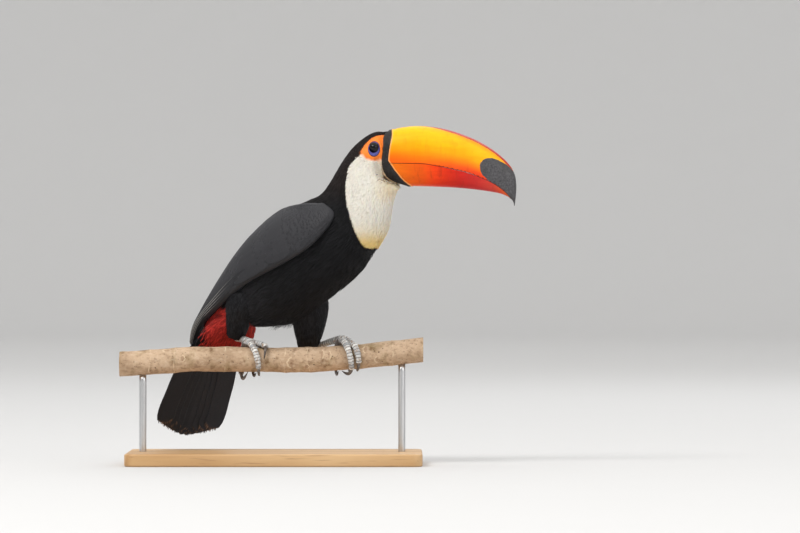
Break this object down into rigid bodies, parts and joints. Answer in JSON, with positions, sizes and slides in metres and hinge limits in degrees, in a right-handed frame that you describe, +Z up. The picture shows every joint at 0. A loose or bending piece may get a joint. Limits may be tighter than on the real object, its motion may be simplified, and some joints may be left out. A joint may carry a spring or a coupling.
{
  "type": "toco toucan",
  "caption": "Life-size still model of a black toucan with a cream bib and a huge orange bill, gripping a short branch on a flat-based display stand.",
  "frame": {"origin": "centre of the flat underside of the stand's base", "axes": "+X along the branch towards the bill's tip, +Y away from the bird's right side, +Z up"},
  "size_m": [0.4441, 0.1963, 0.3773],
  "materials": {
    "black_plumage": "close matt black contour feathers with a faint blue-black sheen",
    "wing_plumage": "slate-black coverts and flight feathers, matt, with fine paler edges",
    "bib_plumage": "soft cream-white throat feathers, tinged yellow below",
    "red_plumage": "loose hair-like crimson undertail coverts",
    "white_plumage": "soft white uppertail coverts",
    "upper_bill": "satin horn, yellow to orange with a black base band and tip spot",
    "lower_bill": "satin horn, orange at the base deepening to red",
    "eye": "wet dark brown eye",
    "face_skin": "bare orange skin round the eye, with a violet-blue ring",
    "foot_skin": "pale blue-grey scaled skin",
    "claw": "grey-brown horn",
    "branch": "tan bark with leaf scars",
    "base_wood": "satin-lacquered pale wood",
    "rod": "brushed"
  },
  "bodies": {
    "root": {"head": "black_plumage", "neck": "bib_plumage", "trunk": "black_plumage", "bill_upper": "upper_bill", "bill_lower": "lower_bill", "wing_right": "wing_plumage", "wing_left": "wing_plumage", "tail": "black_plumage", "undertail_coverts": "red_plumage", "uppertail_coverts": "white_plumage", "eye_right": "eye", "eye_left": "eye", "thigh_right": "black_plumage", "thigh_left": "black_plumage", "foot_right": "foot_skin", "foot_left": "foot_skin", "claw_right_1": "claw", "claw_right_2": "claw", "claw_right_3": "claw", "claw_right_4": "claw", "claw_left_1": "claw", "claw_left_2": "claw", "claw_left_3": "claw", "claw_left_4": "claw", "perch": "branch", "stand_base": "base_wood", "stand_rod_1": "rod", "stand_rod_2": "rod"}
  },
  "joints": []
}
